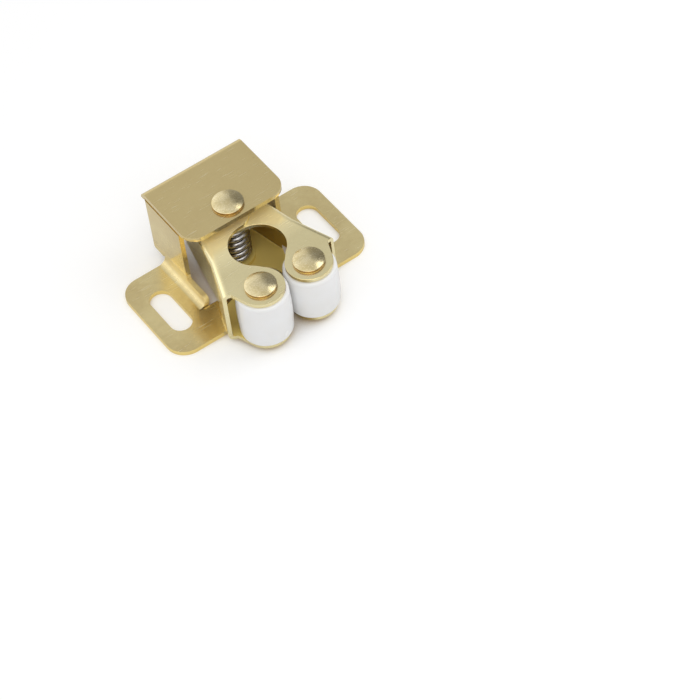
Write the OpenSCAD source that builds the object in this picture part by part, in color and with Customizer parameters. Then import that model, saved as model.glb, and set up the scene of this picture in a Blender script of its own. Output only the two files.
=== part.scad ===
// Double roller catch: a folded sheet housing with two slotted ears, two arms on
// one pivot rivet that a torsion spring closes, and a nylon roller in each arm.
// Millimetres. The ears lie on z = 0, the rollers face -Y, and the origin is
// midway between the two screw slots on the mounting face.

/* [Rollers] */
// Diameter of each roller at its middle
roller_d = 9.9; // [8:0.1:12]
// How much the roller is thinner at its ends, on the radius
roller_crown = 0.2; // [0:0.05:0.4]
// Radius of the roller's edges
roller_edge_r = 0.5; // [0.2:0.1:1]
// Space between the two rollers at rest
roller_gap = 0.2; // [0.1:0.05:1]
// Space between a roller's end and the arm plate
roller_end_gap = 0.15; // [0.1:0.05:0.4]
// Space between a roller and the arm's side wall
roller_side_gap = 1.4; // [0.6:0.1:3]

/* [Arms] */
// Distance from the pivot axis to the line of the roller axes
arm_reach = 17.2; // [15:0.1:20]
// Height of the right arm over its two plates
arm_h = 11.05; // [9.5:0.05:12]
// Thickness of the arm sheet
arm_t = 0.75; // [0.5:0.05:1]
// Outer radius of the arm's bends
arm_bend_r = 1.25; // [1.1:0.05:1.6]
// Angle of the side wall to the middle plane, behind its bend
arm_angle = 12; // [8:0.1:16]
// How much further out the side wall leans in front of its bend
arm_kink = 8; // [2:0.1:12]
// Distance of the side wall's bend in front of the pivot
kink_set = 6.8; // [5.5:0.1:9]
// How far each arm swings open
arm_swing = 16; // [8:1:18]
// Length of the side wall in front of the pivot
wall_front = 18.1; // [16.5:0.1:19.5]
// Length of the side wall behind the pivot
wall_back = 6.4; // [5:0.1:7.5]
// Length of the top plate behind the pivot, along the wall
plate_back = 2.5; // [1.5:0.1:4]
// How far the plate's round end stays inside the roller
eye_inset = 0.65; // [0.2:0.05:1.2]
// Radius of the plates round the pivot
pivot_eye_r = 3.4; // [3.2:0.1:4]
// Radius of the throat behind the rollers, upper plates
throat_r = 5.2; // [4.6:0.1:5.6]
// Radius of the throat behind the rollers, lower plates
low_throat_r = 4; // [3.4:0.1:4.4]
// Space between plates that slide on each other
plate_gap = 0.08; // [0.05:0.01:0.2]

/* [Housing] */
// Thickness of the housing sheet
sheet_t = 0.9; // [0.7:0.05:1.2]
// Height of the box, to its top face
box_h = 15.9; // [15.2:0.1:18]
// Room between an open arm and the box's side wall
box_side_gap = 1.4; // [0.5:0.05:3]
// Distance of the box top's front edge from the pivot
top_front = 3.7; // [3.2:0.1:4.5]
// Distance of the box's back face from the pivot
box_back = 12.7; // [11.8:0.1:15]
// Distance of the side walls' front edge behind the pivot
wall_set_back = 0.4; // [0:0.1:2]
// Slit between the side walls and the box top
top_slit = 0.6; // [0.3:0.1:1.5]
// Radius of the box top's front corners
top_corner_r = 3.3; // [1:0.1:4]
// Outer radius of the box's folds
box_fold_r = 1.6; // [1.2:0.1:2]
// Height of the free lower edges at the back
back_foot = 2; // [1.5:0.1:2.4]
// Upper radius of the fold between wall and ear
ear_fold_r = 1.6; // [1.2:0.1:2]
// How far the fold runs forward of the pivot
lip_front = 5.6; // [4:0.1:6.5]
// Room between an arm and the fold below it
lip_gap = 0.25; // [0.15:0.05:0.6]
// How far the ear's sheet runs in under the arm, in front of the fold
tongue_len = 3.5; // [1:0.1:5]

/* [Ears] */
// Length of each ear, front to back
ear_len = 20.5; // [17:0.1:23]
// Radius of the ears' outer corners
ear_corner_r = 3.8; // [1:0.1:4.4]
// Distance of the slots' middle in front of the pivot
slot_set = 2.4; // [1.5:0.1:3]
// Width of the screw slots
slot_w = 4.2; // [3.5:0.1:5]
// Length of the screw slots
slot_len = 10.8; // [6:0.1:13]
// Flat between the fold and the slot
slot_inset = 1.9; // [1.2:0.1:3]
// Flat between the slot and the ear's outer edge
slot_margin = 2.85; // [2:0.1:5]
// Room between the ears and the arms that pass over them
ear_gap = 0.1; // [0.08:0.01:0.3]

/* [Rivets and spring] */
// Diameter of the rivets' domed heads
head_d = 5.8; // [5:0.1:6.4]
// Height of the domed heads, with their rim
head_h = 1.2; // [0.9:0.05:1.5]
// Diameter of the pivot rivet's shank
pivot_d = 3.4; // [2.8:0.1:3.6]
// Diameter of the roller rivets' shanks
roller_pin_d = 3; // [2.4:0.1:3.6]
// Diameter of the rivets' flat tails
tail_d = 4.8; // [4.4:0.1:5.2]
// Thickness of the rivets' flat tails
tail_h = 0.55; // [0.3:0.05:0.8]
// Running clearance of a rivet in its hole, on the radius
fit = 0.05; // [0.02:0.01:0.1]
// Diameter of the spring wire
wire_d = 1.1; // [0.8:0.05:1.2]
// Room between the spring's coil and the pivot rivet
coil_gap = 0.2; // [0.1:0.05:0.4]
// Whole turns in the spring's coil
coil_turns = 5; // [3:1:6]

/* [Hidden] */
$fn = 64;
brass = [0.80, 0.73, 0.50];
nylon = [0.93, 0.93, 0.92];
steel = [0.30, 0.29, 0.29];

// Everything about the pivot is laid out from its axis, in plan
pivot_y = slot_set;
roller_r = roller_d / 2;
eye_r = roller_r - eye_inset;
roller_at = [roller_r + roller_gap / 2, -arm_reach];

// The right arm's wall in plan: two straight runs, which meet at its bend. Their outer
// faces stand wall_off and front_off from the pivot axis
front_angle = arm_angle + arm_kink;
function facing(a) = [cos(a), sin(a)];
function ahead(a) = [sin(a), -cos(a)];
front_off = roller_at * facing(front_angle) + roller_r + roller_side_gap + arm_t;
kink = [(front_off + kink_set * sin(front_angle)) / cos(front_angle), -kink_set];
wall_off = kink * facing(arm_angle);
function on_wall(v, u = 0) = (wall_off - u) * facing(arm_angle) + v * ahead(arm_angle);
function on_front(v, u = 0) = (front_off - u) * facing(front_angle) + v * ahead(front_angle);
function at_kink(u) = kink - u * (facing(arm_angle) + facing(front_angle)) / (1 + cos(arm_kink));
// The side wall and its folds end square; from there the plates run on to the roller
fold_depth = arm_bend_r + arm_t / 2;
fold_end = on_front(wall_front, fold_depth);
open_angle = arm_angle + arm_swing;

// Heights, from the ears up
arm_z = sheet_t + ear_gap;
plate_step = arm_t + plate_gap;
right_top = arm_z + arm_h;
left_top = right_top + plate_step;
lip_top = sheet_t + ear_fold_r;
wall_z = lip_top + lip_gap;
box_under = box_h - sheet_t;

// The housing's walls stand clear of the open arms
box_half = wall_off / cos(open_angle) + box_side_gap + sheet_t;
fold_x = box_half + ear_fold_r;
slot_x = fold_x + slot_inset + slot_w / 2;
ear_half = slot_x + slot_w / 2 + slot_margin;

// Below lip_top the open arm stays in front of the fold and inside the walls
open_front = -lip_front - lip_gap;
open_side = box_half - sheet_t - box_side_gap;

// The left arm's lower plate is cranked up over the right one in front of the pivot
crank_set = 2;
crank_run = 1.4;
crank_top = -pivot_eye_r - crank_set;
crank_foot = crank_top - crank_run;

// Small shape details
mouth_angle = -27;
head_rim = 0.6;
lip_nose_r = 1.3;
ear_slit = 0.15;
foot_slit = 0.45;

// How far a cutting shape runs past the faces it cuts
over = 1;

// Spring: a coil that stands between the plates, with a leg to each wall
coil_r = pivot_d / 2 + coil_gap + wire_d / 2;
spring_low = arm_z + plate_step + arm_t + plate_gap + wire_d / 2;
spring_high = right_top - arm_t - plate_gap - wire_d / 2;
leg_short = 2;
leg_end = on_wall(leg_short - wall_back, arm_t + plate_gap + wire_d / 2);
leg_angle = atan2(leg_end.y, leg_end.x) - acos(coil_r / norm(leg_end));
coil_sweep = 2 * leg_angle + 180 + 360 * coil_turns;
coil_steps = 20 * coil_turns + 10;
wire_sides = 10;

// Point where the line from p touches the circle round c, left (1) or right (-1)
function touch(p, c, r, side) =
    let (d = norm(c - p), a = atan2(c.y - p.y, c.x - p.x) + side * asin(r / d))
    p + sqrt(d * d - r * r) * [cos(a), sin(a)];

// A flat plan shape between two heights
module slab(from, to) translate([0, 0, from]) linear_extrude(to - from) children();

// Plan outline of an arm's plate: round ends at pivot and roller, and the throat
module plate_outline(throat) {
    throat_y = -pivot_eye_r - throat_r;
    mouth = [0, throat_y] + throat * [cos(mouth_angle), sin(mouth_angle)];
    flank = touch(mouth, roller_at, eye_r, -1);
    nose = touch(fold_end, roller_at, eye_r, 1);
    difference() {
        union() {
            circle(pivot_eye_r);
            translate(roller_at) circle(eye_r);
            polygon([[0, pivot_eye_r], on_wall(-plate_back, -over), on_front(wall_front, -over),
                     fold_end, nose, roller_at, flank, [0, flank.y], [0, 0]]);
        }
        translate([0, throat_y]) circle(throat);
        polygon([[-over, throat_y], [mouth.x, throat_y], mouth, flank, [-over, flank.y]]);
    }
}

// The lower plate is notched, so that it clears the housing's fold when the arm opens
module low_outline() difference() {
    plate_outline(low_throat_r);
    rotate(-arm_swing) translate([open_side, open_front]) square(2 * ear_half);
}

// One sheet folded at both edges of the arm's side wall, wider and longer than the arm
module channel(low, high) {
    deep = wall_off + pivot_eye_r + over;
    steps = 8;
    function arc(r, z, from, to) = [for (i = [0 : steps])
        [arm_bend_r, z] + r * facing(from + (to - from) * i / steps)];
    bottom = low + arm_bend_r;
    top = high - arm_bend_r;
    inner_r = arm_bend_r - arm_t;
    // The section as depth behind the wall's outer face, and height
    section = concat([[deep, low]], arc(arm_bend_r, bottom, 270, 180), arc(arm_bend_r, top, 180, 90),
                     [[deep, high], [deep, high - arm_t]], arc(inner_r, top, 90, 180),
                     arc(inner_r, bottom, 180, 270), [[deep, low + arm_t]]);
    n = len(section);
    points = concat([for (p = section) [each on_wall(-wall_back, p.x), p.y]],
                    [for (p = section) [each at_kink(p.x), p.y]],
                    [for (p = section) [each on_front(arm_reach + roller_d, p.x), p.y]]);
    sides = [for (ring = [0, n], i = [0 : n - 1])
        let (a = ring + i, b = ring + (i + 1) % n)
        each [[b, a, a + n], [b, a + n, b + n]]];
    ends = [for (i = [0 : n / 2 - 2])
        let (face = [i, i + 1, n - 2 - i, n - 1 - i])
        each [face, [for (k = [3 : -1 : 0]) face[k] + 2 * n]]];
    polyhedron(points = points, faces = concat(sides, ends), convexity = 6);
}

// Lower plate at the crank, seen from the side
module crank(lift) {
    front = crank_foot - over;
    back = crank_top + over;
    under = [[front, arm_z], [crank_foot, arm_z], [crank_top, arm_z + lift], [back, arm_z + lift]];
    upper = [for (i = [3 : -1 : 0]) under[i] + [0, arm_t]];
    rotate([90, 0, 90]) translate([0, 0, -ear_half]) linear_extrude(2 * ear_half)
        polygon(concat(under, upper));
}

// Right arm about the pivot axis, its top at high, its lower pivot eye raised by lift
module arm(high, lift) {
    middle = (arm_z + high) / 2;
    difference() {
        union() {
            intersection() {
                channel(arm_z, high);
                union() {
                    slab(middle + over, high + over) plate_outline(throat_r);
                    slab(wall_z, high - arm_bend_r)
                        polygon([on_wall(-wall_back - over, -over), on_front(wall_front, -over),
                                 fold_end, at_kink(fold_depth),
                                 on_wall(-wall_back - over, fold_depth)]);
                    slab(arm_z - over, middle - over) difference() {
                        low_outline();
                        if (lift > 0) translate([-ear_half, crank_foot]) square(2 * ear_half);
                    }
                }
            }
            if (lift > 0) {
                intersection() {
                    channel(arm_z + lift, high);
                    slab(arm_z - over, middle - over) intersection() {
                        low_outline();
                        translate([-ear_half, crank_top]) square(2 * ear_half);
                    }
                }
                intersection() {
                    slab(arm_z - over, middle) low_outline();
                    crank(lift);
                }
            }
        }
        slab(0, box_h) {
            circle(pivot_d / 2 + fit);
            translate(roller_at) circle(roller_pin_d / 2 + fit);
        }
    }
}

// Domed rivet head that stands on z = 0
module dome() {
    r = head_d / 2;
    rise = head_h - head_rim;
    ball = (r * r + rise * rise) / (2 * rise);
    rotate_extrude() intersection() {
        translate([0, head_h - ball]) circle(ball);
        square([r, head_h]);
    }
}

// Rivet through a roller and both plates of its arm
module roller_rivet(high) {
    translate([roller_at.x, roller_at.y, 0]) {
        translate([0, 0, high]) dome();
        translate([0, 0, arm_z - tail_h]) cylinder(r = roller_pin_d / 2, h = high - arm_z + tail_h);
        translate([0, 0, arm_z - tail_h]) cylinder(r = tail_d / 2, h = tail_h);
    }
}

// Crowned roller with round edges and a bore for its rivet
module roller(high) {
    low = arm_z + arm_t + roller_end_gap;
    len = high - arm_t - roller_end_gap - low;
    crown = (len * len / 4 + roller_crown * roller_crown) / (2 * roller_crown);
    end_r = roller_r - roller_crown;
    translate([roller_at.x, roller_at.y, low]) rotate_extrude() difference() {
        union() {
            intersection() {
                translate([0, roller_edge_r]) square([roller_r, len - 2 * roller_edge_r]);
                translate([roller_r - crown, len / 2]) circle(crown, $fn = 256);
            }
            square([end_r - roller_edge_r, len]);
            for (z = [roller_edge_r, len - roller_edge_r])
                translate([end_r - roller_edge_r, z]) circle(roller_edge_r);
        }
        square([roller_pin_d / 2 + fit, len]);
    }
}

// Points along the spring: left leg, coil from below, right leg
function coil_point(i) =
    let (a = 180 - leg_angle + coil_sweep * i / coil_steps)
    [coil_r * cos(a), coil_r * sin(a), spring_low + (spring_high - spring_low) * i / coil_steps];
spring_path = concat([[-leg_end.x, leg_end.y, spring_low]],
                     [for (i = [0 : coil_steps]) coil_point(i)],
                     [[leg_end.x, leg_end.y, spring_high]]);

// Round wire swept along a path that never stands upright
module wire(path) {
    n = len(path);
    function unit(v) = v / norm(v);
    function ring(i) =
        let (ahead = unit(path[min(i + 1, n - 1)] - path[max(i - 1, 0)]),
             side = unit(cross(ahead, [0, 0, 1])),
             up = cross(side, ahead))
        [for (k = [0 : wire_sides - 1])
            path[i] + wire_d / 2 * (cos(360 * k / wire_sides) * side + sin(360 * k / wire_sides) * up)];
    points = [for (i = [0 : n - 1]) each ring(i)];
    sides = [for (i = [0 : n - 2], k = [0 : wire_sides - 1])
        let (a = i * wire_sides + k, b = i * wire_sides + (k + 1) % wire_sides)
        each [[a, b, b + wire_sides], [a, b + wire_sides, a + wire_sides]]];
    ends = [[for (k = [wire_sides - 1 : -1 : 0]) k],
            [for (k = [0 : wire_sides - 1]) (n - 1) * wire_sides + k]];
    polyhedron(points = points, faces = concat(sides, ends), convexity = 10);
}

// Section of the housing sheet folded through a right angle, w by h outside
module fold_section(w, h, outer_r) {
    module round_corner(width, height, r) intersection() {
        square([width, height]);
        union() {
            square([width - r, height]);
            square([width, height - r]);
            translate([width - r, height - r]) circle(r);
        }
    }
    difference() {
        round_corner(w, h, outer_r);
        translate([-over, -over])
            round_corner(w - sheet_t + over, h - sheet_t + over, outer_r - sheet_t);
    }
}

// Box top with round front corners, folded down at the back
module box_top() {
    length = top_front + box_back;
    wall_top = box_under - top_slit;
    corner_x = box_half - top_corner_r;
    translate([0, pivot_y - top_front, 0]) intersection() {
        rotate([90, 0, 90]) translate([0, 0, -box_half]) linear_extrude(2 * box_half)
            fold_section(length, box_h, box_fold_r);
        union() {
            slab(box_under, box_h + over) {
                translate([-box_half, top_corner_r]) square([2 * box_half, length]);
                translate([-corner_x, 0]) square([2 * corner_x, length]);
                for (x = [-corner_x, corner_x])
                    translate([x, top_corner_r]) circle(top_corner_r);
            }
            slab(wall_top, box_h) translate([-box_half, length - box_fold_r])
                square([2 * box_half, box_fold_r + over]);
            slab(wall_top - over, box_h) translate([box_fold_r - box_half, length - box_fold_r])
                square([2 * (box_half - box_fold_r), box_fold_r + over]);
        }
    }
}

// Back wall and side walls folded forward from it, with a free foot at the back
module box_walls() {
    module side(length, foot) {
        slab(foot, box_under - top_slit) translate([0, pivot_y + box_back - length])
            fold_section(box_half, length, box_fold_r);
    }
    for (hand = [0, 1]) mirror([hand, 0, 0]) {
        side(box_back - wall_set_back, lip_top);
        side(pivot_y + box_back - ear_len / 2 - foot_slit, back_foot);
    }
}

// Fold between a side wall and its ear, and the low lip it leaves in front of the wall
module ear_fold() {
    front = pivot_y - lip_front;
    back = ear_len / 2;
    behind = pivot_y + wall_set_back + over;
    intersection() {
        translate([fold_x + over, back, lip_top + over]) rotate([90, 0, 0]) mirror([1, 1, 0])
            linear_extrude(back - front)
                fold_section(lip_top + over, ear_fold_r + sheet_t + over, ear_fold_r + sheet_t);
        rotate([90, 0, 90]) linear_extrude(ear_half) {
            translate([front, -over]) square([back - front, lip_top + over - lip_nose_r]);
            translate([front + lip_nose_r, -over])
                square([back - front - lip_nose_r, lip_top + over]);
            translate([front + lip_nose_r, lip_top - lip_nose_r]) circle(lip_nose_r);
            translate([behind, -over]) square([back - behind, lip_top + 3 * over]);
        }
    }
}

// Flat ear with round corners and a screw slot, and its tongue under the arm
module ear() {
    inner = box_half - tongue_len;
    front = pivot_y - lip_front;
    half = ear_len / 2;
    slot_half = (slot_len - slot_w) / 2;
    linear_extrude(sheet_t) difference() {
        union() {
            translate([fold_x, -half]) square([ear_half - ear_corner_r - fold_x, ear_len]);
            translate([fold_x, ear_corner_r - half])
                square([ear_half - fold_x, ear_len - 2 * ear_corner_r]);
            for (y = [-1, 1]) translate([ear_half - ear_corner_r, y * (half - ear_corner_r)])
                circle(ear_corner_r);
            translate([inner, -half]) square([fold_x - inner + over, half + front - ear_slit]);
        }
        translate([slot_x, 0]) {
            square([slot_w, 2 * slot_half], center = true);
            for (y = [-1, 1]) translate([0, y * slot_half]) circle(slot_w / 2);
        }
    }
}

module at_pivot() translate([0, pivot_y, 0]) children();

module housing() {
    color(brass) difference() {
        union() {
            box_top();
            box_walls();
            for (side = [0, 1]) mirror([side, 0, 0]) {
                ear_fold();
                ear();
            }
        }
        at_pivot() translate([0, 0, box_under - 1])
            cylinder(r = roller_pin_d / 2 + fit, h = sheet_t + 2);
    }
}

module pivot_rivet() {
    low = arm_z - plate_gap - tail_h;
    color(brass) at_pivot() {
        translate([0, 0, box_h]) dome();
        translate([0, 0, low]) cylinder(r = roller_pin_d / 2, h = box_h - low);
        translate([0, 0, low]) cylinder(r = pivot_d / 2, h = box_under - low);
        translate([0, 0, low]) cylinder(r = tail_d / 2, h = tail_h);
    }
}

module torsion_spring() color(steel) at_pivot() wire(spring_path);
module right_arm() color(brass) at_pivot() arm(right_top, 0);
module left_arm() color(brass) at_pivot() mirror([1, 0, 0]) arm(left_top, plate_step);
module right_roller() color(nylon) at_pivot() roller(right_top);
module left_roller() color(nylon) at_pivot() mirror([1, 0, 0]) roller(left_top);
module right_roller_rivet() color(brass) at_pivot() roller_rivet(right_top);
module left_roller_rivet() color(brass) at_pivot() mirror([1, 0, 0]) roller_rivet(left_top);

housing();
pivot_rivet();
torsion_spring();
left_arm();
right_arm();
left_roller();
right_roller();
left_roller_rivet();
right_roller_rivet();
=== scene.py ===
import math

import bmesh
import bpy
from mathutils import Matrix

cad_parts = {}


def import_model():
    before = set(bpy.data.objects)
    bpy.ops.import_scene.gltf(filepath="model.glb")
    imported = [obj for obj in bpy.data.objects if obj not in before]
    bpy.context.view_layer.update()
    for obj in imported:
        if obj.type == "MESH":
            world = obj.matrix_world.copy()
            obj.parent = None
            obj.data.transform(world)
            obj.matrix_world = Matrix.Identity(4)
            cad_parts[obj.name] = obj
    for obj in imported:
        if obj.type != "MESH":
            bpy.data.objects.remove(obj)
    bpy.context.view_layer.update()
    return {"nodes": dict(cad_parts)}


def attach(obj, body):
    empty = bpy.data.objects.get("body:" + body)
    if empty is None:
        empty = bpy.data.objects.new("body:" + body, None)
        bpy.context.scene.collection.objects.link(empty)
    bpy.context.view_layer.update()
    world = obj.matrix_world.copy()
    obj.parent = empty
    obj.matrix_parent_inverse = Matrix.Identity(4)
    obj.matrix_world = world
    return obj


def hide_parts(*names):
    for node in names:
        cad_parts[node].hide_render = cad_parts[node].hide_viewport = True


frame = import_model()
mm = 0.001
print("frame loaded")


# The photograph's camera
photoCamera = {
    "place": (-0.141662, -0.283707, 0.360854),
    "turn": (39.0229, 4.7855, -35.4429),  # degrees
    "lens": 136.676,
    "sensor": 36.0,
    "near": 0.01,
    "far": 20.0,
}


def addCamera(spec):
    data = bpy.data.cameras.new("photoCamera")
    data.lens = spec["lens"]
    data.sensor_width = spec["sensor"]
    data.clip_start = spec["near"]
    data.clip_end = spec["far"]
    camera = bpy.data.objects.new("photoCamera", data)
    camera.location = spec["place"]
    camera.rotation_euler = [math.radians(a) for a in spec["turn"]]
    bpy.context.collection.objects.link(camera)
    bpy.context.scene.camera = camera


addCamera(photoCamera)
print("camera set")


# Wraps a node socket so that node sums are written as Python sums
class Wire:
    def __init__(self, tree, socket=None):
        self.tree = tree
        self.socket = socket

    def node(self, kind, settings=None, inputs=None, output=0):
        made = self.tree.nodes.new(kind)
        for name, value in (settings or {}).items():
            if name == "stops":
                setStops(made.color_ramp, value)
            else:
                setattr(made, name, value)
        for key, value in (inputs or {}).items():
            if isinstance(value, Wire):
                self.tree.links.new(value.socket, made.inputs[key])
            else:
                made.inputs[key].default_value = value
        return Wire(self.tree, made.outputs[output])

    def sum(self, operation, first, second=0.0):
        return self.node("ShaderNodeMath", {"operation": operation}, {0: first, 1: second})

    def __add__(self, other):
        return self.sum("ADD", self, other)

    def __radd__(self, other):
        return self.sum("ADD", other, self)

    def __sub__(self, other):
        return self.sum("SUBTRACT", self, other)

    def __rsub__(self, other):
        return self.sum("SUBTRACT", other, self)

    def __mul__(self, other):
        return self.sum("MULTIPLY", self, other)

    def __rmul__(self, other):
        return self.sum("MULTIPLY", other, self)

    def __truediv__(self, other):
        return self.sum("DIVIDE", self, other)

    def __rtruediv__(self, other):
        return self.sum("DIVIDE", other, self)


def setStops(band, stops):
    while len(band.elements) < len(stops):
        band.elements.new(1.0)
    for element, (place, tone) in zip(band.elements, stops):
        element.position = place
        element.color = grey(tone)


def ramp(wire, *stops):
    return wire.node("ShaderNodeValToRGB", {"stops": stops}, {"Fac": wire})


def mixColour(wire, factor, first, second):
    return wire.node("ShaderNodeMix", {"data_type": "RGBA"}, {0: factor, 6: first, 7: second}, 2)


def axisOf(vector, axis):
    return vector.node("ShaderNodeSeparateXYZ", None, {0: vector}, axis)


def colour(red, green, blue):
    return (red, green, blue, 1.0)


def grey(tone):
    return colour(tone, tone, tone)


# Starts a material and gives its coordinates, a noise maker and what feeds its shader
def startMaterial(name):
    material = bpy.data.materials.new(name)
    material.use_nodes = True
    tree = material.node_tree
    shader = tree.nodes["Principled BSDF"]
    place = Wire(tree).node("ShaderNodeTexCoord", output="Object")

    def noise(scale, detail=2.0, stretch=None, turn=(0.0, 0.0, 0.0), shift=(0.0, 0.0, 0.0)):
        where = place
        if stretch:
            where = place.node("ShaderNodeMapping", None,
                               {"Vector": place, "Scale": stretch, "Rotation": turn, "Location": shift})
        return place.node("ShaderNodeTexNoise", None, {"Vector": where, "Scale": scale, "Detail": detail})

    def feed(socket, value):
        if isinstance(value, Wire):
            tree.links.new(value.socket, shader.inputs[socket])
        else:
            shader.inputs[socket].default_value = value

    return material, place, noise, feed


def bumpOf(height, spec):
    return height.node("ShaderNodeBump", None,
                       {"Height": height, "Strength": spec["bump"], "Distance": spec["bumpDepth"]})


# Brass plate on steel sheet: pale, satin, with soft clouds, fine rolling grain and a few scuffs
belowPart = -1.0 * mm  # a height under the part, or a stretch past it, leaves a mark out
beyondPart = (40.0 * mm, 41.0 * mm)
sheetFinish = {
    "pale": colour(0.90, 0.765, 0.405),
    "deep": colour(0.73, 0.585, 0.285),
    "cloud": {"scale": 130.0, "detail": 3.0},
    "mottle": {"scale": 900.0, "detail": 4.0},
    "cloudShare": 0.7,  # of the tone, and mottle is the rest
    "toneStops": ((0.32, 0.0), (0.66, 1.0)),
    "scuff": colour(0.97, 0.90, 0.66),
    "scuffTone": 0.5,
    "line": {"scale": 240.0, "stretch": (1.0, 18.0, 4.0), "turn": (0.2, 0.1, 0.6)},
    "lineStops": ((0.66, 0.0), (0.71, 1.0)),
    "cross": {"scale": 300.0, "stretch": (1.0, 16.0, 4.0), "turn": (0.1, 0.2, -0.35)},
    "crossStops": ((0.66, 0.0), (0.72, 1.0)),
    "crossTone": 0.7,
    "patch": {"scale": 95.0, "detail": 1.0, "stretch": (1.0, 1.0, 1.0), "shift": (0.4, 0.2, 0.1)},
    "patchStops": ((0.46, 0.0), (0.62, 1.0)),  # scuffs lie along in a patch, and across outside it
    "speck": colour(0.50, 0.39, 0.17),
    "speckTone": 0.6,
    "speckScale": 560.0,
    "speckStops": ((0.05, 1.0), (0.1, 0.0)),
    "speckPatch": ((0.55, 0.0), (0.62, 1.0)),
    "grain": {"scale": 4600.0},
    "relief": {"grain": 0.25, "mottle": 0.75, "scuff": 0.5},
    "bump": 0.07,
    "bumpDepth": 0.03 * mm,
    "metal": 0.88,
    "rough": 0.21,
    "roughSpread": 0.12,
    "scuffRough": 0.15,
    "flatStops": ((0.5, 0.0), (0.8, 1.0)),  # from a leaning face to a flat one
    "inner": colour(1.0, 0.79, 0.24),  # undersides, and flats below innerBelow, are unpolished and matt; their bright deep yellow is a painted bounce light from the brass around them
    "innerBelow": belowPart,
    "innerMetal": 0.1,
    "innerRough": 0.3,
    "inwardShade": colour(0.38, 0.255, 0.06),  # painted shade on walls that face inwards
    "inwardShadeStops": ((0.4, 0.0), (0.7, 1.0)),
    "inwardShadeTone": 0.0,
    "cut": colour(1.0, 0.80, 0.32),  # a painted reflection, brighter and yellower, on the ears' upright cut edges
    "cutStops": ((0.2, 1.0), (0.5, 0.0)),
    "cutBelow": 0.95 * mm,
    "cutBeyond": 11.5 * mm,
    "rubbedBehind": beyondPart,  # where the tops grow matt towards the box
    "rubbedTone": 0.75,
    "folded": (1.0 * mm, 1.6 * mm),  # heights over which the stretched ear folds grow matt
    "foldedBelow": 3.6 * mm,
    "foldedTone": 0.6,
    "mattRough": 0.3,
    "highShade": (9.0 * mm, 13.0 * mm),  # heights over which the plate is painted darker, a painted shade on the box top
    "highShadeTone": 0.8,
}
armFinish = dict(
    sheetFinish,
    # paler than the housing's plate: painted light on the arms' flats
    pale=colour(0.96, 0.86, 0.51),
    deep=colour(0.90, 0.79, 0.45),
    # the lower plates' flats, below this height, take the matt finish and the painted bounce light
    innerBelow=4.0 * mm,
    inwardShadeTone=0.85,
    cutBelow=belowPart,
    rubbedBehind=(-8.4 * mm, -2.6 * mm),
    foldedBelow=belowPart,
    mattRough=0.02,
    highShade=beyondPart,
)


def makeSheetFinish(name, spec):
    material, place, noise, feed = startMaterial(name)

    def between(wire, ends):
        return place.node("ShaderNodeMapRange", None,
                          {"Value": wire, "From Min": ends[0], "From Max": ends[1]})

    def below(wire, limit):
        return place.sum("LESS_THAN", wire, limit)

    cloud = noise(**spec["cloud"])
    mottle = noise(**spec["mottle"])
    grain = noise(**spec["grain"])
    line = ramp(noise(**spec["line"]), *spec["lineStops"])
    cross = ramp(noise(**spec["cross"]), *spec["crossStops"])
    patch = ramp(noise(**spec["patch"]), *spec["patchStops"])
    scuff = line * patch + cross * (1.0 - patch) * spec["crossTone"]
    cell = place.node("ShaderNodeTexVoronoi", None, {"Vector": place, "Scale": spec["speckScale"]})
    speck = ramp(cell, *spec["speckStops"]) * ramp(mottle, *spec["speckPatch"])

    # where a point lies and which way it faces
    across = axisOf(place, "X")
    depth = axisOf(place, "Y")
    height = axisOf(place, "Z")
    facing = place.node("ShaderNodeNewGeometry", output="Normal")
    upward = axisOf(facing, "Z")
    inward = 0.0 - axisOf(facing, "X") * place.sum("SIGN", across)
    top = ramp(upward, *spec["flatStops"])
    under = ramp(0.0 - upward, *spec["flatStops"])
    upright = ramp(place.sum("ABSOLUTE", upward), *spec["cutStops"])

    # undersides and low flats: a matt finish, with a painted bounce light in their colour
    inner = place.sum("MAXIMUM", under, top * below(height, spec["innerBelow"]))
    # painted shade on walls that face inwards
    inwardShade = ramp(inward, *spec["inwardShadeStops"]) * spec["inwardShadeTone"]
    onEar = place.sum("GREATER_THAN", place.sum("ABSOLUTE", across), spec["cutBeyond"])
    # painted reflection on the ears' upright cut edges
    cut = onEar * upright * below(height, spec["cutBelow"])
    rubbed = between(depth, spec["rubbedBehind"]) * top * spec["rubbedTone"]
    folded = between(height, spec["folded"]) * below(height, spec["foldedBelow"]) * spec["foldedTone"]
    matt = place.sum("MAXIMUM", rubbed, folded) * (1.0 - inner)
    # painted shade: the tone leans to the deep colour higher up, on the box top
    highShade = between(height, spec["highShade"]) * spec["highShadeTone"]

    clouded = cloud * spec["cloudShare"] + mottle * (1.0 - spec["cloudShare"])
    tone = ramp(clouded, *spec["toneStops"]) * (1.0 - highShade)
    tint = mixColour(place, tone, spec["deep"], spec["pale"])
    tint = mixColour(place, scuff * spec["scuffTone"], tint, spec["scuff"])
    tint = mixColour(place, speck * spec["speckTone"], tint, spec["speck"])
    tint = mixColour(place, inwardShade, tint, spec["inwardShade"])
    tint = mixColour(place, cut, tint, spec["cut"])
    feed("Base Color", mixColour(place, inner, tint, spec["inner"]))
    feed("Metallic", spec["metal"] + (inner + matt) * (spec["innerMetal"] - spec["metal"]))
    feed("Roughness", spec["rough"] + (mottle - 0.5) * spec["roughSpread"] + scuff * spec["scuffRough"]
         + inner * spec["innerRough"] + matt * spec["mattRough"])
    share = spec["relief"]
    relief = grain * share["grain"] + mottle * share["mottle"] + scuff * share["scuff"]
    feed("Normal", bumpOf(relief, spec))
    return material


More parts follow.
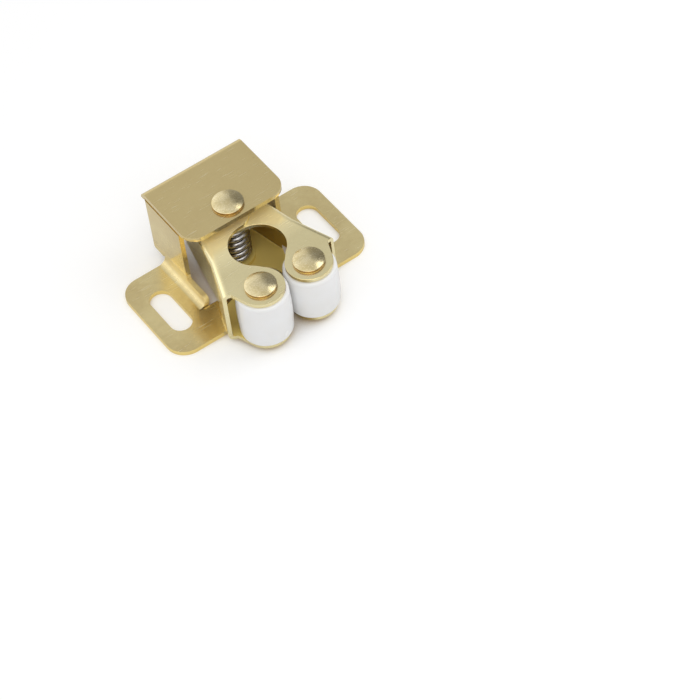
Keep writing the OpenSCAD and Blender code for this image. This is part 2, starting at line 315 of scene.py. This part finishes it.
# Rubbed cut edges, brighter and yellower than the flats: partly the rubbing, partly a painted highlight
# along the bevels
edgeWearAndHighlightFinish = {
    "pale": colour(1.0, 0.87, 0.48),
    "deep": colour(0.92, 0.76, 0.37),
    "patch": {"scale": 700.0, "detail": 3.0},
    "patchStops": ((0.35, 0.0), (0.6, 1.0)),
    "metal": 1.0,
    "rough": 0.18,
    "patchRough": 0.12,
}


def makeEdgeFinish(name, spec):
    material, place, noise, feed = startMaterial(name)
    patch = noise(**spec["patch"])
    feed("Base Color", mixColour(place, ramp(patch, *spec["patchStops"]), spec["deep"], spec["pale"]))
    feed("Roughness", spec["rough"] + patch * spec["patchRough"])
    feed("Metallic", spec["metal"])
    return material


# Rivets: the same plate over hammered heads, with a painted shade, dark brown, on the upright rims
rivetFinish = {
    "pale": colour(0.95, 0.83, 0.52),
    "deep": colour(0.76, 0.63, 0.33),
    "wash": {"scale": 420.0},
    "washShare": 0.6,  # of the tone, and pits are the rest
    "toneStops": ((0.36, 0.0), (0.62, 1.0)),
    # painted shade on the heads' upright sides
    "rim": colour(0.34, 0.20, 0.07),
    "rimStops": ((0.25, 1.0), (0.5, 0.0)),
    "dentScale": 1500.0,
    "dentSmooth": 0.8,
    "dentShare": 0.6,  # of the relief, and pits are the rest
    "pit": {"scale": 3200.0, "detail": 3.0},
    "metal": 1.0,
    "rough": 0.17,
    "pitRough": 0.16,
    "bump": 0.4,
    "bumpDepth": 0.05 * mm,
}


def makeRivetFinish(name, spec):
    material, place, noise, feed = startMaterial(name)
    dent = place.node("ShaderNodeTexVoronoi", {"feature": "SMOOTH_F1"},
                      {"Vector": place, "Scale": spec["dentScale"], "Smoothness": spec["dentSmooth"]})
    pit = noise(**spec["pit"])
    wash = noise(**spec["wash"])
    washed = wash * spec["washShare"] + pit * (1.0 - spec["washShare"])
    facing = place.node("ShaderNodeNewGeometry", output="Normal")
    rim = ramp(place.sum("ABSOLUTE", axisOf(facing, "Z")), *spec["rimStops"])
    tint = mixColour(place, ramp(washed, *spec["toneStops"]), spec["deep"], spec["pale"])
    feed("Base Color", mixColour(place, rim, tint, spec["rim"]))
    feed("Roughness", spec["rough"] + pit * spec["pitRough"])
    feed("Normal", bumpOf(dent * spec["dentShare"] + pit * (1.0 - spec["dentShare"]), spec))
    feed("Metallic", spec["metal"])
    return material


# Moulded nylon with a faint unevenness and light rubbing
nylonFinish = {
    "clean": colour(0.91, 0.91, 0.91),
    "warm": colour(0.89, 0.885, 0.87),
    "cloud": {"scale": 160.0},
    "cloudStops": ((0.4, 0.0), (0.65, 1.0)),
    "rub": {"scale": 420.0, "detail": 3.0},
    "rubStops": ((0.45, 0.0), (0.75, 1.0)),
    "rough": 0.16,
    "rubRough": 0.12,
    "wave": {"scale": 500.0},
    "bump": 0.02,
    "bumpDepth": 0.04 * mm,
    "milk": 0.25,  # light that scatters under the skin
    "milkReach": (1.0, 0.95, 0.9),
    "milkScale": 0.8 * mm,
}


def makeNylonFinish(name, spec):
    material, place, noise, feed = startMaterial(name)
    cloud = ramp(noise(**spec["cloud"]), *spec["cloudStops"])
    rub = ramp(noise(**spec["rub"]), *spec["rubStops"])
    feed("Base Color", mixColour(place, cloud, spec["clean"], spec["warm"]))
    feed("Roughness", spec["rough"] + rub * spec["rubRough"])
    feed("Normal", bumpOf(noise(**spec["wave"]), spec))
    feed("Subsurface Weight", spec["milk"])
    feed("Subsurface Radius", spec["milkReach"])
    feed("Subsurface Scale", spec["milkScale"])
    return material


# Drawn spring wire, dark with oily sheen
wireFinish = {
    "dark": colour(0.40, 0.39, 0.39),
    "light": colour(0.70, 0.68, 0.66),
    "stain": {"scale": 900.0, "detail": 3.0},
    "stainStops": ((0.4, 0.0), (0.65, 1.0)),
    "drawn": {"scale": 1400.0, "stretch": (1.0, 1.0, 6.0)},
    "metal": 1.0,
    "rough": 0.18,
    "drawnRough": 0.14,
    "bump": 0.12,
    "bumpDepth": 0.02 * mm,
}


def makeWireFinish(name, spec):
    material, place, noise, feed = startMaterial(name)
    stain = ramp(noise(**spec["stain"]), *spec["stainStops"])
    drawn = noise(**spec["drawn"])
    feed("Base Color", mixColour(place, stain, spec["dark"], spec["light"]))
    feed("Roughness", spec["rough"] + drawn * spec["drawnRough"])
    feed("Normal", bumpOf(drawn, spec))
    feed("Metallic", spec["metal"])
    return material


sheetBrass = makeSheetFinish("sheetBrass", sheetFinish)
armBrass = makeSheetFinish("armBrass", armFinish)
edgeWearAndHighlight = makeEdgeFinish("edgeWearAndHighlight", edgeWearAndHighlightFinish)
rivetBrass = makeRivetFinish("rivetBrass", rivetFinish)
rollerNylon = makeNylonFinish("rollerNylon", nylonFinish)
springWire = makeWireFinish("springWire", wireFinish)
print("finishes made")


# Folded sheet pieces: the solids with their cut edges softened
sheetPieces = {
    "weld": 1e-6,
    "flat": 0.4,  # degrees
    "edgeAngle": 38.0,  # degrees
    "edgeWidth": 0.11 * mm,
    "edgeSteps": 3,
    "finish": {"housing": sheetBrass, "left_arm": armBrass, "right_arm": armBrass},
}


def applyModifiers(piece):
    seen = piece.evaluated_get(bpy.context.evaluated_depsgraph_get())
    mesh = bpy.data.meshes.new_from_object(seen)
    piece.modifiers.clear()
    piece.data = mesh


def softenSheet(node, finish, spec):
    mesh = frame["nodes"][node].data.copy()
    work = bmesh.new()
    work.from_mesh(mesh)
    bmesh.ops.remove_doubles(work, verts=work.verts, dist=spec["weld"])
    flat = math.radians(spec["flat"])
    bmesh.ops.dissolve_limit(work, angle_limit=flat, verts=work.verts, edges=work.edges)
    work.to_mesh(mesh)
    work.free()
    mesh.materials.clear()
    mesh.materials.append(finish)
    mesh.materials.append(edgeWearAndHighlight)
    mesh.shade_smooth()
    piece = bpy.data.objects.new(node + "Sheet", mesh)
    bpy.context.collection.objects.link(piece)
    edge = piece.modifiers.new("edge", "BEVEL")
    edge.width = spec["edgeWidth"]
    edge.segments = spec["edgeSteps"]
    edge.limit_method = "ANGLE"
    edge.angle_limit = math.radians(spec["edgeAngle"])
    edge.material = 1  # edgeWearAndHighlight
    even = piece.modifiers.new("even", "WEIGHTED_NORMAL")
    even.keep_sharp = True
    applyModifiers(piece)
    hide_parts(node)
    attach(piece, node)  # each sheet's body has its name


for sheetNode, sheetMaterial in sheetPieces["finish"].items():
    softenSheet(sheetNode, sheetMaterial, sheetPieces)
print("sheet pieces softened")


# Node trees that make meshes
def startTree(name, sockets):
    tree = bpy.data.node_groups.new(name, "GeometryNodeTree")
    tree.interface.new_socket("Mesh", in_out="OUTPUT", socket_type="NodeSocketGeometry")
    for label, kind in sockets:
        tree.interface.new_socket(label, in_out="INPUT", socket_type=kind)
    given = tree.nodes.new("NodeGroupInput")
    wires = {label: Wire(tree, given.outputs[label]) for label, kind in sockets}
    return tree, wires


def endTree(tree, mesh, material):
    real = mesh.node("GeometryNodeRealizeInstances", None, {"Geometry": mesh})
    done = mesh.node("GeometryNodeSetMaterial", None, {"Geometry": real, "Material": material})
    tree.links.new(done.socket, tree.nodes.new("NodeGroupOutput").inputs[0])


def growPiece(name, tree, values, body):
    piece = bpy.data.objects.new(name, bpy.data.meshes.new(name))
    bpy.context.collection.objects.link(piece)
    grow = piece.modifiers.new("grow", "NODES")
    grow.node_group = tree
    for item in tree.interface.items_tree:
        if item.in_out == "INPUT":
            grow[item.identifier] = values[item.name]
    applyModifiers(piece)
    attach(piece, body)
    return piece


# Spring wire: a turn about the pivot, then a straight leg along its tangent
springSize = {
    "pivot": (0.0, 2.4 * mm, 0.0),
    "coilRadius": 2.45 * mm,
    "wireRadius": 0.55 * mm,
    "wireSides": 16,
    "low": 3.21 * mm,
    "high": 10.67 * mm,
    "turns": 5,
    "coilPoints": 260,
    "legAngle": -21.385,  # degrees, where the right leg leaves the coil
    "leg": 6.884 * mm,
    "legPoints": 60,
    "tuck": 30.0,  # degrees of coil that turn with each leg
    "tuckWire": 0.985,  # a little thinner, to stay inside the coil
}


def makeWireTree(sides):
    number = "NodeSocketFloat"
    tree, given = startTree("springWire", [
        ("Coil radius", number), ("Wire radius", number), ("Start angle", number), ("Sweep", number),
        ("Start height", number), ("Rise", number), ("Leg", number), ("Points", "NodeSocketInt"),
        ("Pivot", "NodeSocketVector"), ("Finish", "NodeSocketMaterial")])
    line = Wire(tree).node("GeometryNodeCurvePrimitiveLine")
    line = line.node("GeometryNodeResampleCurve", None, {"Curve": line, "Count": given["Points"]})
    share = line.node("GeometryNodeSplineParameter")
    hand = line.sum("SIGN", given["Sweep"])
    arcLength = given["Sweep"] * hand * given["Coil radius"]
    along = share * (arcLength + given["Leg"])
    arc = line.sum("MINIMUM", along, arcLength)
    straight = (along - arc) * hand
    angle = given["Start angle"] + arc * hand / given["Coil radius"]
    east = line.sum("COSINE", angle)
    north = line.sum("SINE", angle)
    spot = line.node("ShaderNodeCombineXYZ", None, {
        "X": given["Coil radius"] * east - straight * north,
        "Y": given["Coil radius"] * north + straight * east,
        "Z": given["Start height"] + given["Rise"] * arc / arcLength})
    spot = line.node("ShaderNodeVectorMath", {"operation": "ADD"}, {0: spot, 1: given["Pivot"]})
    path = line.node("GeometryNodeSetPosition", None, {"Geometry": line, "Position": spot})
    ring = line.node("GeometryNodeCurvePrimitiveCircle", None,
                     {"Resolution": sides, "Radius": given["Wire radius"]})
    wire = line.node("GeometryNodeCurveToMesh", None,
                     {"Curve": path, "Profile Curve": ring, "Fill Caps": True})
    smooth = line.node("GeometryNodeSetShadeSmooth", None, {"Geometry": wire})
    endTree(tree, smooth, given["Finish"])
    return tree


def makeSpring(spec):
    tree = makeWireTree(spec["wireSides"])
    first = math.radians(180.0 - spec["legAngle"])
    sweep = math.radians(2.0 * spec["legAngle"] + 180.0 + 360.0 * spec["turns"])
    rise = spec["high"] - spec["low"]
    tuck = math.radians(spec["tuck"])
    tuckRise = rise * tuck / sweep
    common = {"Coil radius": spec["coilRadius"], "Pivot": spec["pivot"], "Finish": springWire}
    coil = growPiece("springCoil", tree, dict(common, **{
        "Wire radius": spec["wireRadius"], "Start angle": first, "Sweep": sweep,
        "Start height": spec["low"], "Rise": rise, "Leg": 0.0,
        "Points": spec["coilPoints"]}), "housing")
    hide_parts("torsion_spring")
    common["Wire radius"] = spec["wireRadius"] * spec["tuckWire"]
    common["Leg"] = spec["leg"]
    common["Points"] = spec["legPoints"]
    growPiece("springLegLeft", tree, dict(common, **{
        "Start angle": first + tuck, "Sweep": -tuck,
        "Start height": spec["low"] + tuckRise, "Rise": -tuckRise}), "left_arm")
    growPiece("springLegRight", tree, dict(common, **{
        "Start angle": first + sweep - tuck, "Sweep": tuck,
        "Start height": spec["high"] - tuckRise, "Rise": tuckRise}), "right_arm")


makeSpring(springSize)
print("spring wound")


# Rivets: one turned form, with a domed head, a shank and a flat tail
rivetSize = {
    "sides": 72,
    "rows": 44,  # from the middle of the tail to the top of the dome
    "weld": 1e-6,
    "sharpAngle": 40.0,  # degrees
    "tailSoft": 0.3,  # of the tail's height
    "head": {"Head radius": 2.9 * mm, "Head height": 1.2 * mm, "Head rim": 0.6 * mm,
             "Head edge": 0.13 * mm, "Tail radius": 2.4 * mm, "Tail height": 0.55 * mm},
    "places": {
        "pivot_rivet": {"body": "housing", "Axis": (0.0, 2.4 * mm, 0.0), "Neck radius": 1.7 * mm,
                        "Foot": 0.37 * mm, "Seat": 15.9 * mm},
        "left_roller_rivet": {"body": "left_arm", "Axis": (-5.05 * mm, -14.8 * mm, 0.0),
                              "Neck radius": 1.5 * mm, "Foot": 0.45 * mm, "Seat": 12.88 * mm},
        "right_roller_rivet": {"body": "right_arm", "Axis": (5.05 * mm, -14.8 * mm, 0.0),
                               "Neck radius": 1.5 * mm, "Foot": 0.45 * mm, "Seat": 12.05 * mm},
    },
}


def makeRivetTree(spec):
    number = "NodeSocketFloat"
    tree, given = startTree("turnedRivet", [
        ("Axis", "NodeSocketVector"), ("Head radius", number), ("Head height", number),
        ("Head rim", number), ("Head edge", number), ("Neck radius", number), ("Foot", number),
        ("Seat", number), ("Tail radius", number), ("Tail height", number),
        ("Finish", "NodeSocketMaterial")])
    rows = spec["rows"]
    grid = Wire(tree).node("GeometryNodeMeshGrid", None, {
        "Size X": 1.0, "Size Y": 1.0, "Vertices X": spec["sides"] + 1, "Vertices Y": rows})
    flat = grid.node("GeometryNodeInputPosition")
    turnShare = axisOf(flat, "X") + 0.5
    rowNumber = (axisOf(flat, "Y") + 0.5) * (rows - 1)

    # the first row of each part, from the tail's soft edge up to the dome
    tail, brim, neck, shank, seat, foot, edge, dome = 1, 4, 5, 6, 7, 8, 12, 17

    # 1 on rows under this one, 0 on the rest
    def before(row):
        return grid.sum("LESS_THAN", rowNumber, row - 0.5)

    def within(low, high):
        return before(high) - before(low)

    # a quarter turn between two rows
    def quarter(low, high):
        return (rowNumber - low) / (high - low) * (math.pi / 2.0)

    tailTurn = quarter(tail, brim)
    footTurn = quarter(foot, edge)
    edgeTurn = quarter(edge, dome)
    domeTurn = quarter(dome, rows - 1)
    soft = given["Head edge"]
    inside = given["Head radius"] - soft
    tailSoft = given["Tail height"] * spec["tailSoft"]
    tailOut = given["Tail radius"] - tailSoft
    radius = (within(tail, brim) * (tailOut + tailSoft * grid.sum("SINE", tailTurn))
              + within(brim, neck) * given["Tail radius"]
              + within(neck, seat) * given["Neck radius"]
              + within(seat, foot) * inside
              + within(foot, edge) * (inside + soft * grid.sum("SINE", footTurn))
              + within(edge, dome) * (inside + soft * grid.sum("COSINE", edgeTurn))
              + within(dome, rows) * inside * grid.sum("COSINE", domeTurn))
    swell = grid.sum("POWER", grid.sum("SINE", domeTurn), 2.0)
    rim = given["Seat"] + given["Head rim"]
    height = (before(tail) * given["Foot"]
              + within(tail, brim) * (given["Foot"] + tailSoft - tailSoft * grid.sum("COSINE", tailTurn))
              + within(brim, shank) * (given["Foot"] + given["Tail height"])
              + within(shank, foot) * given["Seat"]
              + within(foot, edge) * (given["Seat"] + soft * (1.0 - grid.sum("COSINE", footTurn)))
              + within(edge, dome) * (rim - soft + soft * grid.sum("SINE", edgeTurn))
              + within(dome, rows) * (rim + (given["Head height"] - given["Head rim"]) * swell))
    angle = turnShare * (2.0 * math.pi)
    spot = grid.node("ShaderNodeCombineXYZ", None, {
        "X": radius * grid.sum("COSINE", angle), "Y": radius * grid.sum("SINE", angle), "Z": height})
    spot = grid.node("ShaderNodeVectorMath", {"operation": "ADD"}, {0: spot, 1: given["Axis"]})
    turned = grid.node("GeometryNodeSetPosition", None, {"Geometry": grid, "Position": spot})
    closed = grid.node("GeometryNodeMergeByDistance", None, {"Geometry": turned, "Distance": spec["weld"]})
    smooth = grid.node("GeometryNodeSetShadeSmooth", None, {"Geometry": closed})
    bend = grid.node("GeometryNodeInputMeshEdgeAngle")
    sharp = grid.node("FunctionNodeCompare", {"data_type": "FLOAT", "operation": "GREATER_THAN"},
                      {0: bend, 1: math.radians(spec["sharpAngle"])})
    cut = grid.node("GeometryNodeSetShadeSmooth", {"domain": "EDGE"},
                    {"Geometry": smooth, "Selection": sharp, "Shade Smooth": False})
    endTree(tree, cut, given["Finish"])
    return tree


def makeRivets(spec):
    tree = makeRivetTree(spec)
    for node, place in spec["places"].items():
        values = dict(spec["head"], Finish=rivetBrass, **place)
        rivet = growPiece(node + "Turned", tree, values, place["body"])
        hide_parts(node)


makeRivets(rivetSize)
print("rivets turned")


# Rollers keep their solids and get the nylon
for roller in ("left_roller", "right_roller"):
    shown = frame["nodes"][roller]
    shown.data.materials.clear()
    shown.data.materials.append(rollerNylon)
print("rollers finished")


# Pale floor and soft studio light
studio = {
    "floorSize": 4.0,
    "floorDrop": 0.02 * mm,
    "floorAlbedo": 0.8,  # what the part sees
    "floorCatch": 0.72,  # what the camera sees, with the part's shadow
    "floorGlow": 0.32,
    "floorReach": 12.0 * mm,  # how near the part has to be to shade the glow
    "glowStops": ((0.1, 0.0), (0.6, 1.0)),
    "floorBounce": colour(0.52, 0.38, 0.22),  # brass light on the floor inside the box
    "bounceStops": ((0.1, 0.0), (0.45, 1.0)),
    "sky": 0.98,
    "mirror": 1.18,  # what the metal sees, bright on the left and dim on the right
    "across": ((0.30, 1.0), (0.50, 0.72), (0.67, 0.60), (0.76, 0.22), (0.9, 0.16)),
    "horizon": 0.5,  # how much brighter the mirrored sky is low down
    "horizonStops": ((0.38, 1.0), (0.69, 0.0)),
    "key": {"place": (0.24, -0.08, 0.34), "size": 0.2, "power": 0.24},
    "fill": {"place": (-0.12, -0.24, 0.40), "size": 0.3, "power": 0.3},
}


def addFloor(spec):
    bpy.ops.mesh.primitive_plane_add(size=spec["floorSize"], location=(0.0, 0.0, -spec["floorDrop"]))
    floor = bpy.context.object
    floor.name = "paleFloor"
    material = bpy.data.materials.new("paleFloor")
    material.use_nodes = True
    tree = material.node_tree
    tree.nodes.clear()
    start = Wire(tree)

    def diffuse(tint):
        return start.node("ShaderNodeBsdfDiffuse", None, {"Color": tint})

    def mixShader(factor, first, second):
        return start.node("ShaderNodeMixShader", None, {0: factor, 1: first, 2: second})

    seen = start.sum("MAXIMUM", start.node("ShaderNodeLightPath", output="Is Camera Ray"),
                     start.node("ShaderNodeLightPath", output="Is Transmission Ray"))
    clear = start.node("ShaderNodeAmbientOcclusion", None, {"Distance": spec["floorReach"]}, "AO")
    catch = mixShader(ramp(clear, *spec["bounceStops"]), diffuse(spec["floorBounce"]),
                      diffuse(grey(spec["floorCatch"])))
    glow = start.node("ShaderNodeEmission", None, {"Strength": spec["floorGlow"]})
    lit = start.node("ShaderNodeAddShader", None, {0: catch, 1: glow})
    white = mixShader(ramp(clear, *spec["glowStops"]), catch, lit)
    result = mixShader(seen, diffuse(grey(spec["floorAlbedo"])), white)
    tree.links.new(result.socket, tree.nodes.new("ShaderNodeOutputMaterial").inputs["Surface"])
    floor.data.materials.append(material)


def addSky(spec):
    world = bpy.data.worlds.new("studioSky")
    bpy.context.scene.world = world
    world.use_nodes = True
    tree = world.node_tree
    tree.nodes.clear()
    start = Wire(tree)
    camera = start.node("ShaderNodeLightPath", output="Is Camera Ray")
    gloss = start.node("ShaderNodeLightPath", output="Is Glossy Ray")
    toward = start.node("ShaderNodeTexCoord", output="Generated")
    lowDown = ramp(axisOf(toward, "Z"), *spec["horizonStops"])
    sideways = ramp(axisOf(toward, "X") * 0.5 + 0.5, *spec["across"])
    mirror = sideways * spec["mirror"] * (1.0 + lowDown * spec["horizon"])
    strength = camera + (1.0 - camera) * (gloss * mirror + (1.0 - gloss) * spec["sky"])
    sky = start.node("ShaderNodeBackground", None, {"Strength": strength})
    tree.links.new(sky.socket, tree.nodes.new("ShaderNodeOutputWorld").inputs["Surface"])


def addLamp(name, spec):
    data = bpy.data.lights.new(name, "AREA")
    data.size = spec["size"]
    data.energy = spec["power"]
    lamp = bpy.data.objects.new(name, data)
    lamp.location = spec["place"]
    lamp.rotation_euler = (-lamp.location).to_track_quat("-Z", "Y").to_euler()
    bpy.context.collection.objects.link(lamp)


addFloor(studio)
addSky(studio)
for lampName in ("key", "fill"):
    addLamp(lampName, studio[lampName])
bpy.context.scene.view_settings.view_transform = "Standard"
print("studio lit")
